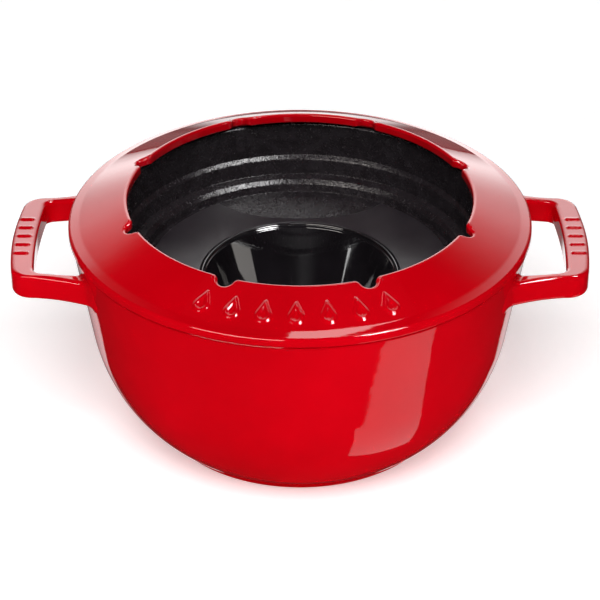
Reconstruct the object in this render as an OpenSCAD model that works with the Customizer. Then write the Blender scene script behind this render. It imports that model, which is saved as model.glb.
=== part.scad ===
// Cast-iron fondue station. A round enamelled pot with two loop handles carries a sloping fork
// ring on its rim. A stepped insert hangs inside the pot and holds the burner plate, the burner
// cup and a small fuel burner with a flame regulator and a snuffer lid.
// Millimetres. +Z is up, and the origin is the centre of the pot's foot, on the table. The
// handles lie along X, and the ornament on the ring faces -Y, the front.

/* [Pot] */
// Height of the pot's rim above the table
rim_z = 124; // [120:1:130]
// Outer radius of the pot at its rim
rim_r = 128.8; // [127:0.1:129.4]
// Lean of the pot's upper wall from the vertical, in degrees
wall_taper = 9.2; // [8:0.1:10]
// Radius of the pot's rounded belly
belly_r = 99; // [94:1:104]
// Height of the belly's centre of curvature
belly_z = 80; // [77:1:83]
// Thickness of the pot's wall
pot_wall = 5; // [4:0.1:5.2]
// Height of the pot's inside floor above the table
floor_z = 8.5; // [7:0.1:10]
// Outer radius of the foot ring
foot_r = 82.6; // [79:0.1:84]
// Height of the foot ring
foot_h = 4; // [3:0.1:5]

/* [Handles] */
// Distance from the pot's centre to the outer edge of a handle
handle_reach = 162.5; // [160:0.1:166]
// Half the width of a handle across its corners
handle_half = 44.6; // [42:0.1:48]
// Width of the bar that the hand grips
grip_w = 13.6; // [11:0.1:15]
// Height of the handle's top face
handle_top = 116; // [114:0.1:117]
// Thickness of a handle
handle_t = 14.6; // [10:0.1:16]
// Number of raised grip ribs on each handle
rib_count = 5; // [3:1:6]

/* [Fork ring] */
// Outer radius of the ring
ring_r = 130; // [129.5:0.1:132]
// Radius of the ring's round opening
ring_bore_r = 96.6; // [95:0.1:97.5]
// Height of the ring's inner edge above the pot's rim
ring_rise = 19.2; // [18.5:0.1:21]
// Slope of the ring's top, in degrees
ring_slope = 24.8; // [24:0.1:26]
// Thickness of the ring, square to its slope
ring_t = 5; // [4.5:0.1:5.2]
// Number of fork notches
notch_count = 8; // [6:1:10]
// Width of a fork notch
notch_w = 9; // [7:0.1:10]
// Depth of a fork notch
notch_depth = 5.4; // [4.6:0.1:6]
// Turn of the ring on the pot, in degrees
ring_turn = -1.1; // [-5:0.1:5]
// Number of raised flames in the ornament
flame_count = 7; // [5:1:7]
// Height of the ornament above the ring's top
relief = 1; // [0.6:0.1:1.4]

/* [Stepped insert] */
// Inner radius of the insert at its top
insert_r = 101.4; // [101.2:0.1:101.6]
// Height of the insert's top edge
insert_top = 134.3; // [133:0.1:134.4]
// Inner radius of the upper step's edge
step1_r = 99; // [98:0.1:99.4]
// Height of the upper step
step1_z = 111; // [110.5:0.1:112]
// Inner radius of the lower step's edge
step2_r = 91.5; // [91.2:0.1:92.5]
// Height of the lower step
step2_z = 99.6; // [99:0.1:100.5]
// Thickness of the insert
insert_t = 3; // [2.6:0.1:3.2]

/* [Burner plate and cup] */
// Outer radius of the burner plate
plate_r = 86; // [85:0.1:87]
// Height of the plate's outer edge
plate_z = 97; // [96.9:0.1:97.4]
// Slope of the plate towards its hole, in degrees
plate_slope = 9.7; // [9.4:0.1:10]
// Thickness of the plate
plate_t = 2.6; // [2.2:0.1:2.7]
// Radius of the cup's open mouth
mouth_r = 55.1; // [54.8:0.1:55.3]
// Inward lean of the cup's cone, in degrees
cone_lean = 20; // [19:0.1:21]
// Radius of the well that holds the burner
well_r = 38.3; // [38.2:0.1:39]
// Height of the cup's inside floor
well_z = 20; // [18:0.1:21]

/* [Burner] */
// Outer radius of the fuel tin
tin_r = 36; // [35:0.1:36.2]
// Height of the fuel tin
tin_h = 24; // [22:0.1:25]
// Radius of the flame opening
flame_r = 18; // [16:0.1:18.4]
// Number of air holes in the regulator
air_holes = 8; // [6:1:8]
// Radius of an air hole
air_r = 4; // [3:0.1:4.2]

/* [Hidden] */
$fn = 96;

gap = 0.3;              // clearance between pieces that lift apart
round_r = 1.2;          // rounding of cast edges
front = -90;            // direction of the front, in degrees
red = [0.72, 0.02, 0.05];
black = [0.12, 0.12, 0.13];
steel = [0.75, 0.75, 0.76];

// Pot: a straight upper wall that runs tangent into an arc, and a fillet to the inside floor.
belly_x = rim_r - tan(wall_taper) * (rim_z - belly_z) - belly_r / cos(wall_taper);
belly_low_z = 7;        // height at which the belly turns in towards the foot
foot_a = -asin((belly_z - belly_low_z) / belly_r);
groove_h = 0.9;         // groove between the belly and the foot
groove_d = 0.8;
foot_w = 7;             // width of the foot's ring on the table
foot_recess = 3;        // height of the hollow inside the foot
floor_fillet = 20;
fillet_rise = belly_z - floor_z - floor_fillet;
fillet_reach = belly_r - pot_wall - floor_fillet;
fillet_a = -asin(fillet_rise / fillet_reach);
fillet_x = belly_x + sqrt(pow(fillet_reach, 2) - pow(fillet_rise, 2));
ledge_z = 118.2;        // height of the ledge that carries the insert
ledge_r = 116.5;
ledge_t = 3.5;
ledge_blend = 7;

// Handles, in plan.
handle_bow = 2.6;       // how far the grip bows outwards between its corners
handle_corner = 12;
handle_flare = 11;      // how much wider the handle is where it meets the pot
handle_root = 112;      // radius at which the handle's outline starts, inside the wall
window_half = 36;
window_corner = 4;
rib_r = 1.4;
rib_len = 8;
rib_pitch = 9.4;
rib_proud = 0.9;

// Fork ring.
ring_top = rim_z + ring_rise;
ring_base = rim_z + gap;
ring_shoulder_r = 3.5;
ring_lip_t = ring_t / cos(ring_slope);
spigot_r = 122.6;       // rim on the underside that centres the ring in the pot
spigot_w = 4.6;
spigot_drop = 2;
band_r = 114;           // radius of the row of raised flames
band_span = 51;         // angle between the first flame and the last
band_len = 13;
band_w = 8.6;
band_line = 2.4;        // width of a flame's raised outline

// Insert.
flange_r = 122.2;
flange_z = ledge_z + gap;
step_ledge = 1.6;       // width of each step
seat_z = 94;            // height of the seat for the burner plate
seat_r = 84.5;          // radius at which the seat gives way to the sloping floor
insert_bore_r = 58.5;   // open middle of the insert, round the cup
insert_low_z = 85;

// Burner plate.
bead_r = 0.9;           // rolled rim of the cup
bead_x = mouth_r + bead_r;
plate_bore_r = bead_x + bead_r + gap;
plate_bore_z = plate_z - tan(plate_slope) * (plate_r - plate_bore_r);
bead_z = plate_bore_z - bead_r + 0.1;
rest_z = bead_z - bead_r - gap;
rest_w = 2.5;           // width of the rest that the cup's rim hangs on
scallop_count = 3;
scallop_r = 61;         // how close a scallop comes to the centre
scallop_half = 48;
scallop_rise = 10.5;
scallop_power = 3.2;

// Burner cup.
cup_t = 1.4;
cup_top_r = mouth_r - 1;
cup_top_z = bead_z - 1;
well_top = cup_top_z - (cup_top_r - well_r - 1.2) / tan(cone_lean);
cup_corner = 2;
cup_notch_w = 6;
cup_notch_a = 100.6;    // direction of the notch in the cup's rim

// Burner.
sheet = 0.8;            // thickness of the burner's sheet metal
tin_z = well_z + gap;
tin_top = tin_z + tin_h;
wad_h = 15;
gauze_z = tin_z + sheet + wad_h;
gauze_t = 0.6;
spring_r = 0.9;
cap_r = tin_r + sheet + 0.1;
cap_skirt = 5;
cap_z = tin_top + gap;
neck_r = flame_r + 2.6;
neck_h = 3.6;
hole_ring_r = 27;
ring_run = 0.05;        // running clearance of the regulator ring on the neck
reg_r = 33.5;
reg_z = cap_z + sheet + gap;
reg_t = 1;
keeper_w = 1.8;
keeper_t = 1;
lever_a = front + 180 / air_holes;
lever_w = 5;
lever_r = 31;           // radius at which the lever's strip bends up
lever_t = 1;
lever_h = 9;
lever_foot = 5.5;       // length of the strip's foot on the regulator ring
rivet_x = lever_r - lever_foot / 2;
rivet_r = 1.2;
rivet_head_r = 2;
rivet_head_t = 0.8;
knob_r = 3.6;
lid_z = cap_z + sheet + neck_h + gap;
lid_r = neck_r + 1.4;
lid_t = 1.2;
lid_spigot = 2.4;
post_h = 3;
knob_h = 8;
knob_top_r = 7;
knob_low_r = 4.5;
screw_r = 1.5;
screw_head_r = 3;
screw_head_t = 1.4;

// Points on an arc about c, and on a quadratic curve through p, pulled towards q, to s.
function arc(c, r, a0, a1, n = 12) =
    [for (i = [0:n]) let (a = a0 + (a1 - a0) * i / n) c + r * [cos(a), sin(a)]];
function curve(p, q, s, n = 8) =
    [for (i = [0:n]) let (t = i / n) pow(1 - t, 2) * p + 2 * t * (1 - t) * q + t * t * s];
function flip_y(points) = [for (i = [len(points) - 1:-1:0]) [points[i][0], -points[i][1]]];

// Radius of the pot's straight upper wall at height z, moved inwards by depth.
function wall_r(z, depth = 0) = rim_r - tan(wall_taper) * (rim_z - z) - depth / cos(wall_taper);
// Height of the ring's sloping top at radius r.
function ring_z(r) = ring_top - tan(ring_slope) * (r - ring_bore_r - 1);
function plate_top(r) = plate_z - tan(plate_slope) * (plate_r - r);

pot_outside = concat(
    [[wall_r(rim_z - round_r), rim_z - round_r]],
    arc([belly_x, belly_z], belly_r, -wall_taper, foot_a, 18),
    [[foot_r - groove_d, foot_h + groove_h], [foot_r, foot_h], [foot_r, round_r],
     [foot_r - round_r, 0], [foot_r - foot_w, 0], [foot_r - foot_w - round_r, foot_recess]]);
pot_inside = concat(
    [[0, floor_z]],
    arc([fillet_x, floor_z + floor_fillet], floor_fillet, -90, fillet_a, 8),
    arc([belly_x, belly_z], belly_r - pot_wall, fillet_a, -wall_taper, 14),
    [[wall_r(ledge_z - ledge_t - ledge_blend, pot_wall), ledge_z - ledge_t - ledge_blend],
     [ledge_r, ledge_z - ledge_t], [ledge_r, ledge_z], [wall_r(ledge_z, pot_wall), ledge_z],
     [wall_r(rim_z, pot_wall), rim_z]]);

module pot() {
    color(red)
    rotate_extrude()
        polygon(concat(pot_inside, [[wall_r(rim_z) - round_r, rim_z]], pot_outside,
            [[0, foot_recess]]));
}

// Outline of a handle on the +X side, open towards the pot.
module handle_plan() {
    corner_x = handle_reach - handle_bow;
    half = concat(
        curve([handle_root, handle_half + handle_flare], [handle_root + 16, handle_half + 3],
            [corner_x - handle_corner, handle_half]),
        curve([corner_x - handle_corner + 1, handle_half], [corner_x - 1, handle_half],
            [corner_x, handle_half - handle_corner]),
        curve([corner_x + 0.5, handle_half - handle_corner - 1],
            [handle_reach, handle_half / 3], [handle_reach, 0]));
    polygon(concat(half, flip_y(half)));
}

module handle_window() {
    out_x = handle_reach - grip_w;
    corner_y = window_half + window_corner;
    half = concat(
        [[handle_root, corner_y + 3]],
        curve([out_x - handle_corner, corner_y], [out_x - 2, corner_y - 0.6],
            [out_x - 2, window_half - 0.6]),
        curve([out_x - 1.9, window_half - 2], [out_x, handle_half / 3], [out_x, 0]));
    polygon(concat(half, flip_y(half)));
}

module handle() {
    color(red)
    difference() {
        union() {
            translate([0, 0, handle_top - handle_t])
                linear_extrude(handle_t) difference() {
                    handle_plan();
                    handle_window();
                }
            for (i = [0:rib_count - 1])
                translate([handle_reach - grip_w / 2 - rib_len / 2,
                    (i - (rib_count - 1) / 2) * rib_pitch, handle_top + rib_proud - rib_r])
                    rotate([0, 90, 0]) cylinder(r = rib_r, h = rib_len);
        }
        rotate_extrude()
            polygon(concat([[0, rim_z]], [[wall_r(rim_z), rim_z]], pot_outside,
                [[0, foot_recess]]));
    }
}

module left_handle() {
    mirror([1, 0, 0]) handle();
}

module right_handle() {
    handle();
}

// Half of the ring's section, thickened by extra above its sloping top.
module ring_section(extra = 0) {
    shoulder = [ring_r - ring_shoulder_r, ring_z(ring_r) - 0.9];
    under = ring_z(ring_bore_r + 3) - ring_lip_t;
    polygon(concat(
        [[ring_bore_r, ring_top - ring_lip_t - 0.2]],
        arc([ring_bore_r + round_r, ring_top - round_r + extra], round_r, 180,
            90 - ring_slope, 6),
        arc(shoulder + [0, extra], ring_shoulder_r, 90 - ring_slope, 0, 8),
        [[ring_r, ring_base + round_r], [ring_r - round_r, ring_base],
         [spigot_r, ring_base], [spigot_r, ring_base - spigot_drop],
         [spigot_r - spigot_w, ring_base - spigot_drop],
         [spigot_r - spigot_w, ring_z(spigot_r - spigot_w) - ring_lip_t],
         [ring_bore_r + 3, under], [ring_bore_r + round_r, under + 0.3]]));
}

// A slot for a fork: a round bottom with a softened mouth, pointing along +X.
module notch_plan() {
    half = notch_w / 2;
    bottom = ring_bore_r + notch_depth - half;
    mouth = ring_bore_r + 0.6;
    ease = 2;
    polygon(concat(
        [[ring_bore_r - 6, -half - ease]],
        curve([mouth - ease, -half - ease], [mouth, -half], [mouth + ease / 2, -half], 4),
        arc([bottom, 0], half, -70, 70, 10),
        curve([mouth + ease / 2, half], [mouth, half], [mouth - ease, half + ease], 4),
        [[ring_bore_r - 6, half + ease]]));
}

// A flame's outline, drawn in by inset all round, its point towards the ring's opening.
module flame_plan(inset = 0) {
    half = band_w / 2 - inset;
    round_x = band_len / 2 - band_w / 2;
    tip = -band_len / 2 + 1.8 * inset;
    lean = acos(half / (round_x - tip));
    polygon(concat([[tip, 0]], arc([round_x, 0], half, lean - 180, 180 - lean, 20)));
}

module fork_ring() {
    color(red)
    rotate([0, 0, ring_turn + front])
    difference() {
        union() {
            rotate_extrude() ring_section();
            intersection() {
                rotate_extrude() ring_section(relief);
                for (i = [0:flame_count - 1])
                    rotate([0, 0, (i / (flame_count - 1) - 0.5) * band_span])
                        translate([band_r, 0, rim_z + spigot_drop])
                            linear_extrude(ring_rise) difference() {
                                flame_plan();
                                flame_plan(band_line);
                            }
            }
        }
        for (i = [0:notch_count - 1])
            rotate([0, 0, (i + 0.5) * 360 / notch_count])
                translate([0, 0, rim_z]) linear_extrude(2 * ring_rise) notch_plan();
    }
}

module stepped_insert() {
    out_r = insert_r + insert_t;
    low = step2_z - 3;
    color(black)
    rotate_extrude()
        polygon(concat(
            [[out_r, flange_z + insert_t], [out_r, insert_top - 0.8],
             [out_r - 0.8, insert_top], [insert_r + 0.6, insert_top],
             [insert_r, insert_top - 0.6], [insert_r - 0.3, step1_z + step_ledge + 0.8],
             [step1_r + 1.4, step1_z + 0.8]],
            arc([step1_r + 1.2, step1_z - 0.5], round_r, 90, 190, 6),
            [[step2_r + 3.4, step2_z + 2.4], [step2_r + 2.2, step2_z + 0.9]],
            arc([step2_r + 1.2, step2_z - 0.5], round_r, 90, 185, 6),
            [[step2_r - 0.6, low], [step2_r - 1.7, seat_z], [seat_r, seat_z],
             [insert_bore_r, insert_low_z], [insert_bore_r, insert_low_z - insert_t],
             [seat_r - 2, seat_z - insert_t - 0.6], [step2_r + 1, seat_z - insert_t],
             [step2_r + insert_t, low + 0.5], [step2_r + insert_t + 2.6, step2_z],
             [step1_r + insert_t + 1, step1_z - 1], [out_r - 0.2, step1_z + 2],
             [out_r, flange_z], [flange_r - round_r, flange_z], [flange_r, flange_z + round_r],
             [flange_r, flange_z + insert_t]]));
}

module scallop_plan() {
    edge = [for (i = [-12:12]) let (x = scallop_half * i / 12)
        [x, scallop_r + scallop_rise * pow(abs(x) / scallop_half, scallop_power)]];
    polygon(concat(edge, [[scallop_half, plate_r + 5], [-scallop_half, plate_r + 5]]));
}

module burner_plate() {
    inner = bead_x - bead_r + 0.8;
    color(black)
    difference() {
        rotate_extrude()
            polygon([
                [plate_bore_r, plate_bore_z], [plate_r - 0.6, plate_top(plate_r - 0.6)],
                [plate_r, plate_z - 0.7], [plate_r, plate_z - plate_t + 0.5],
                [plate_r - 0.6, plate_top(plate_r - 0.6) - plate_t],
                [plate_bore_r + 3, plate_top(plate_bore_r + 3) - plate_t],
                [plate_bore_r + 1, rest_z - rest_w], [inner, rest_z - rest_w],
                [inner, rest_z], [plate_bore_r, rest_z]]);
        for (i = [0:scallop_count - 1])
            rotate([0, 0, i * 360 / scallop_count])
                translate([0, 0, seat_z - 12]) linear_extrude(24) scallop_plan();
    }
}

module burner_cup() {
    color(black)
    difference() {
        union() {
            translate([0, 0, bead_z])
                rotate_extrude() translate([bead_x, 0]) circle(r = bead_r, $fn = 32);
            rotate_extrude()
                polygon([
                    [cup_top_r, cup_top_z], [well_r + 1.2, well_top], [well_r, well_top - 1.2],
                    [well_r, well_z + cup_corner], [well_r - cup_corner, well_z], [0, well_z],
                    [0, well_z - cup_t], [well_r - cup_corner, well_z - cup_t],
                    [well_r + cup_t, well_z + cup_corner - cup_t],
                    [well_r + cup_t, well_top - 1.8], [well_r + cup_t + 1, well_top - 0.8],
                    [cup_top_r + cup_t, cup_top_z - 0.2], [bead_x, bead_z],
                    [bead_x - bead_r / 2, bead_z + bead_r / 2]]);
        }
        rotate([0, 0, cup_notch_a])
            translate([mouth_r - 4, -cup_notch_w / 2, bead_z + 0.2])
                cube([8, cup_notch_w, 2 * bead_r]);
    }
}

module fuel_tin() {
    color(steel)
    rotate_extrude()
        polygon([
            [0, tin_z], [tin_r - 1, tin_z], [tin_r, tin_z + 1], [tin_r, tin_top],
            [tin_r - sheet, tin_top], [tin_r - sheet, tin_z + sheet], [0, tin_z + sheet]]);
}

module fuel_wadding() {
    color("white")
    translate([0, 0, tin_z + sheet]) cylinder(r = tin_r - sheet, h = wad_h);
}

module wire_gauze() {
    color(steel)
    translate([0, 0, gauze_z]) cylinder(r = tin_r - sheet - 0.1, h = gauze_t);
}

// An open ring that springs against the tin's wall and holds the gauze down.
module gauze_spring_ring() {
    color(steel)
    translate([0, 0, gauze_z + gauze_t + spring_r])
        rotate([0, 0, front + 8])
            rotate_extrude(angle = 344)
                translate([tin_r - sheet - spring_r - 0.1, 0]) circle(r = spring_r, $fn = 24);
}

module air_hole_ring(z) {
    for (i = [0:air_holes - 1])
        rotate([0, 0, i * 360 / air_holes])
            translate([hole_ring_r, 0, z - 1]) cylinder(r = air_r, h = 4, $fn = 32);
}

module burner_top() {
    color(steel)
    difference() {
        rotate_extrude()
            polygon([
                [flame_r, cap_z], [tin_r + 0.1, cap_z], [tin_r + 0.1, cap_z - cap_skirt],
                [cap_r, cap_z - cap_skirt], [cap_r, cap_z + sheet - 0.5],
                [cap_r - 0.5, cap_z + sheet], [neck_r, cap_z + sheet],
                [neck_r, cap_z + sheet + neck_h], [flame_r, cap_z + sheet + neck_h]]);
        air_hole_ring(cap_z);
    }
}

module regulator_ring() {
    color(steel)
    difference() {
        translate([0, 0, reg_z]) cylinder(r = reg_r, h = reg_t);
        translate([0, 0, reg_z - 1]) cylinder(r = neck_r + ring_run, h = reg_t + 2);
        air_hole_ring(reg_z);
        rivet_hole();
    }
}

module rivet_hole() {
    rotate([0, 0, lever_a])
        translate([rivet_x, 0, reg_z - 1]) cylinder(r = rivet_r, h = 4, $fn = 32);
}

// A ring pressed on the neck, which keeps the regulator ring down.
module retaining_ring() {
    color(steel)
    translate([0, 0, reg_z + reg_t + gap])
    difference() {
        cylinder(r = neck_r + keeper_w, h = keeper_t);
        translate([0, 0, -1]) cylinder(r = neck_r, h = keeper_t + 2);
    }
}

// A bent strip, with a foot on the regulator ring and an upright for the knob.
module regulator_lever() {
    color(steel)
    difference() {
        rotate([0, 0, lever_a])
            translate([lever_r - lever_foot, -lever_w / 2, reg_z + reg_t]) {
                cube([lever_foot + lever_t, lever_w, lever_t]);
                translate([lever_foot, 0, 0]) cube([lever_t, lever_w, lever_h]);
            }
        rivet_hole();
    }
}

// Holds the lever's foot on the regulator ring, and is flush below it.
module lever_rivet() {
    color(steel)
    rotate([0, 0, lever_a])
        translate([rivet_x, 0, reg_z]) {
            cylinder(r = rivet_r, h = reg_t + lever_t, $fn = 32);
            translate([0, 0, reg_t + lever_t])
                cylinder(r = rivet_head_r, h = rivet_head_t, $fn = 32);
        }
}

module lever_knob() {
    color(black)
    rotate([0, 0, lever_a])
        translate([lever_r + lever_t / 2, 0, reg_z + reg_t + lever_h])
            cylinder(r = knob_r, h = 2 * knob_r);
}

module snuffer_lid() {
    color(steel)
    difference() {
        union() {
            translate([0, 0, lid_z]) cylinder(r = lid_r, h = lid_t);
            translate([0, 0, lid_z - lid_spigot])
                difference() {
                    cylinder(r = flame_r - gap, h = lid_spigot);
                    translate([0, 0, -1]) cylinder(r = flame_r - gap - sheet, h = lid_spigot + 1);
                }
            translate([0, 0, lid_z + lid_t]) cylinder(r = knob_low_r, h = post_h);
        }
        translate([0, 0, lid_z - 1]) cylinder(r = screw_r, h = lid_t + post_h + 2);
    }
}

module snuffer_knob() {
    bottom = lid_z + lid_t + post_h;
    color(black)
    rotate_extrude()
        polygon(concat(
            [[screw_r, bottom], [knob_low_r, bottom]],
            curve([knob_low_r, bottom + 1], [knob_low_r, bottom + knob_h / 2],
                [knob_top_r, bottom + knob_h - 2], 6),
            curve([knob_top_r, bottom + knob_h - 1.6], [knob_top_r - 0.6, bottom + knob_h],
                [0, bottom + knob_h], 8),
            [[0, bottom + knob_h - 2], [screw_r, bottom + knob_h - 2]]));
}

module knob_screw() {
    color(steel)
    union() {
        translate([0, 0, lid_z - screw_head_t]) cylinder(r = screw_head_r, h = screw_head_t);
        translate([0, 0, lid_z])
            cylinder(r = screw_r, h = lid_t + post_h + knob_h - 2);
    }
}

pot();
left_handle();
right_handle();
fork_ring();
stepped_insert();
burner_plate();
burner_cup();
fuel_tin();
fuel_wadding();
wire_gauze();
gauze_spring_ring();
burner_top();
regulator_ring();
retaining_ring();
regulator_lever();
lever_rivet();
lever_knob();
snuffer_lid();
snuffer_knob();
knob_screw();
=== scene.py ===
"""Looks of the fondue pot set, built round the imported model.

Lengths inside the shape functions are millimetres, as in the part's source. They become metres
when a mesh is made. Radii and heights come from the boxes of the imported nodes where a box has
them, and the few that a box can't give are the named values below.
"""
import math

import bpy
import bmesh
import numpy as np
from mathutils import Matrix, Vector

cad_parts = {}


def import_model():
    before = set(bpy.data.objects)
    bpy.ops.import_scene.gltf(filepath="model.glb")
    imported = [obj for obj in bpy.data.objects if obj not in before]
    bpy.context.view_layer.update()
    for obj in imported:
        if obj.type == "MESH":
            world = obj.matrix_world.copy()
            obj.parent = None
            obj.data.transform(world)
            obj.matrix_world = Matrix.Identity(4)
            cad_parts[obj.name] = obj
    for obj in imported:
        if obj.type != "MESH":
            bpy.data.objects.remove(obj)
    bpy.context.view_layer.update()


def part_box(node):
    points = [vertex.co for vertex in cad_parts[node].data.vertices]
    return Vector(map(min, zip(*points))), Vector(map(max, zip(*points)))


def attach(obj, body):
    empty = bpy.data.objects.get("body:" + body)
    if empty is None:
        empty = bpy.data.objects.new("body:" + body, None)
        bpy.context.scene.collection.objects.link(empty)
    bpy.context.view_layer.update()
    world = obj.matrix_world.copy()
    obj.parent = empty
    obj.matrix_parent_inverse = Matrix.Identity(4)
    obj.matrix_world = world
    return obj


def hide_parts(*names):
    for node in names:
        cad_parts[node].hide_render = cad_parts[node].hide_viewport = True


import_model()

MM = 0.001
SEED = 7
SCENE = bpy.context.scene


def low(node):
    return [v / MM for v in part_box(node)[0]]


def high(node):
    return [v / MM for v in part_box(node)[1]]


def span(node):
    return low(node), high(node)


# -------- sizes, in millimetres
RIM_Z = high("pot")[2]
RIM_R = 128.8
WALL_TAPER = math.radians(9.2)
WALL_T = 5.0
BELLY_R, BELLY_Z = 99.0, 80.0
FLOOR_Z, FLOOR_FILLET = 8.5, 20.0
BELLY_LOW_Z, GROOVE_H, GROOVE_D = 7.0, 0.9, 0.8
FOOT_R, FOOT_H, FOOT_W, FOOT_HOLLOW = 82.6, 4.0, 7.0, 3.0
LEDGE_Z, LEDGE_R, LEDGE_T, LEDGE_BLEND = 118.2, 116.5, 3.5, 7.0

RING_R = 130.0
RING_TOP = high("fork_ring")[2]
RING_BORE = 96.6
RING_SLOPE = math.radians(24.8)
RING_LIP = 5.0 / math.cos(RING_SLOPE)  # the ring is 5 mm thick, measured upright here
RING_BASE = RIM_Z + 0.3
RING_TURN = math.radians(-1.1)
SPIGOT_LOW, SPIGOT_R, SPIGOT_W = low("fork_ring")[2], 122.6, 4.6
NOTCHES, NOTCH_W, NOTCH_DEPTH = 8, 9.0, 5.4
BAND_R, BAND_LEN, BAND_W, BAND_LINE = 114.0, 13.0, 8.6, 2.4
BAND_COUNT, BAND_SPAN, RELIEF = 7, math.radians(51), 1.0

HANDLE_REACH = high("right_handle")[0]
HANDLE_TOP, HANDLE_LOW = 116.0, low("right_handle")[2]
HANDLE_HALF, GRIP_W, HANDLE_BOW, HANDLE_CORNER = 44.6, 13.6, 2.6, 12.0
HANDLE_FLARE, HANDLE_ROOT, WINDOW_HALF, WINDOW_CORNER = 11.0, 112.0, 36.0, 4.0
RIBS, RIB_PITCH, RIB_LEN, RIB_W, RIB_PROUD = 5, 9.4, 8.0, 2.8, 0.9

INSERT_TOP, INSERT_LOW = high("stepped_insert")[2], low("stepped_insert")[2]
INSERT_R, INSERT_T, INSERT_BORE = 101.4, 3.0, 58.5
FLANGE_R, FLANGE_Z = high("stepped_insert")[0], 118.5
STEP1_R, STEP1_Z, STEP2_R, STEP2_Z = 99.0, 111.0, 91.5, 99.6
SEAT_R, SEAT_Z = 84.5, 94.0

PLATE_R, PLATE_Z, PLATE_SLOPE, PLATE_T = 86.0, 97.0, math.radians(9.7), 2.6
PLATE_BORE, PLATE_REST, REST_BORE = 57.2, low("burner_plate")[2], 55.9
SCALLOPS, SCALLOP_R, SCALLOP_HALF, SCALLOP_RISE, SCALLOP_POWER = 3, 61.0, 48.0, 10.5, 3.2

BEAD_R = 0.9
BEAD_X, BEAD_Z = high("burner_cup")[0] - BEAD_R, high("burner_cup")[2] - BEAD_R
CUP_T, CONE_LEAN, WELL_R = 1.4, math.radians(20), 38.3
CUP_FLOOR = low("burner_cup")[2] + CUP_T
CUP_NOTCH_A, CUP_NOTCH_W = math.radians(100.6), 6.0

SHEET_T, FLAME_R, NECK_R = 0.8, 18.0, 20.6
TURN_GAP, LID_GAP = 0.05, 0.3
AIR_HOLES, AIR_RING_R, AIR_R = 8, 27.0, 4.0
POST_R, SCREW_R = 4.5, 1.5


# -------- curves
def polar(r, a):
    return (r * math.cos(a), r * math.sin(a))


def arc(centre, r, a0, a1, n=12):
    """Points on an arc, angles in degrees."""
    angles = np.radians(np.linspace(a0, a1, n + 1))
    return [(centre[0] + r * math.cos(a), centre[1] + r * math.sin(a)) for a in angles]


def bend(p, q, s, n=12):
    """Points on a quadratic curve from p to s, pulled towards q."""
    t = np.linspace(0, 1, n + 1)[:, None]
    p, q, s = (np.array(v, float) for v in (p, q, s))
    return [tuple(v) for v in (1 - t) ** 2 * p + 2 * t * (1 - t) * q + t * t * s]


STRAIGHT = math.radians(88.5)  # half of the angle at which a corner counts as straight


def soften(corners, n=5):
    """A closed outline of (x, y, radius) corners, each rounded to its radius as far as it fits."""
    out = []
    pts = [np.array(c[:2], float) for c in corners]
    for i, c in enumerate(corners):
        before, here, after = pts[i - 1], pts[i], pts[(i + 1) % len(pts)]
        radius = c[2] if len(c) > 2 else 0
        u, v = before - here, after - here
        lu, lv = np.linalg.norm(u), np.linalg.norm(v)
        if radius <= 0 or lu < 1e-9 or lv < 1e-9:
            out.append(tuple(here))
            continue
        u, v = u / lu, v / lv
        half = math.acos(max(-1, min(1, float(u @ v)))) / 2
        if half > STRAIGHT:
            out.append(tuple(here))
            continue
        reach = min(radius / math.tan(half), 0.48 * min(lu, lv))
        radius = reach * math.tan(half)
        centre = here + (u + v) / np.linalg.norm(u + v) * radius / math.sin(half)
        a0 = math.atan2(*(here + u * reach - centre)[::-1])
        a1 = math.atan2(*(here + v * reach - centre)[::-1])
        turn = (a1 - a0 + math.pi) % (2 * math.pi) - math.pi
        out += [tuple(centre + radius * np.array([math.cos(a), math.sin(a)]))
                for a in a0 + turn * np.linspace(0, 1, n + 1)]
    return out


def solid(corners, n=5):
    """A softened outline for a piece with no hole: closed along the axis at both ends."""
    return [(0, corners[0][1])] + soften(corners, n) + [(0, corners[-1][1])]


def ramp(x, edge0, edge1):
    """0 before edge0 and 1 after edge1, with a smooth rise between."""
    t = np.clip((np.asarray(x, float) - edge0) / (edge1 - edge0), 0, 1)
    return t * t * (3 - 2 * t)


# -------- meshes
def link(name, mesh):
    piece = bpy.data.objects.new(name, mesh)
    SCENE.collection.objects.link(piece)
    return piece


def clean(mesh, weld, dissolve=False):
    """Merges points closer than weld metres, unless it is 0, and turns the faces outwards."""
    bm = bmesh.new()
    bm.from_mesh(mesh)
    if weld:
        bmesh.ops.remove_doubles(bm, verts=bm.verts, dist=weld)
    if dissolve:
        bmesh.ops.dissolve_degenerate(bm, edges=bm.edges, dist=1e-6)
    bmesh.ops.recalc_face_normals(bm, faces=bm.faces)
    bm.to_mesh(mesh)
    bm.free()


def finish_mesh(name, verts, faces, paint=None, weld=True):
    """A smooth shaded object from millimetre points. paint gives each face its material."""
    mesh = bpy.data.meshes.new(name)
    mesh.from_pydata([tuple(v) for v in np.asarray(verts) * MM], [], faces)
    if paint is not None:
        mesh.polygons.foreach_set("material_index", np.asarray(paint, np.int32))
    clean(mesh, 2e-6 if weld else 0, dissolve=weld)
    mesh.shade_smooth()
    piece = link(name, mesh)
    normals = piece.modifiers.new("even_normals", "WEIGHTED_NORMAL")
    normals.weight = 80
    return piece


def grid_faces(rows, cols, close_rows=True, close_cols=True):
    faces = []
    for i in range(rows if close_rows else rows - 1):
        for j in range(cols if close_cols else cols - 1):
            a, b = i * cols, ((i + 1) % rows) * cols
            k = (j + 1) % cols
            faces.append((a + j, a + k, b + k, b + j))
    return faces


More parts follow.
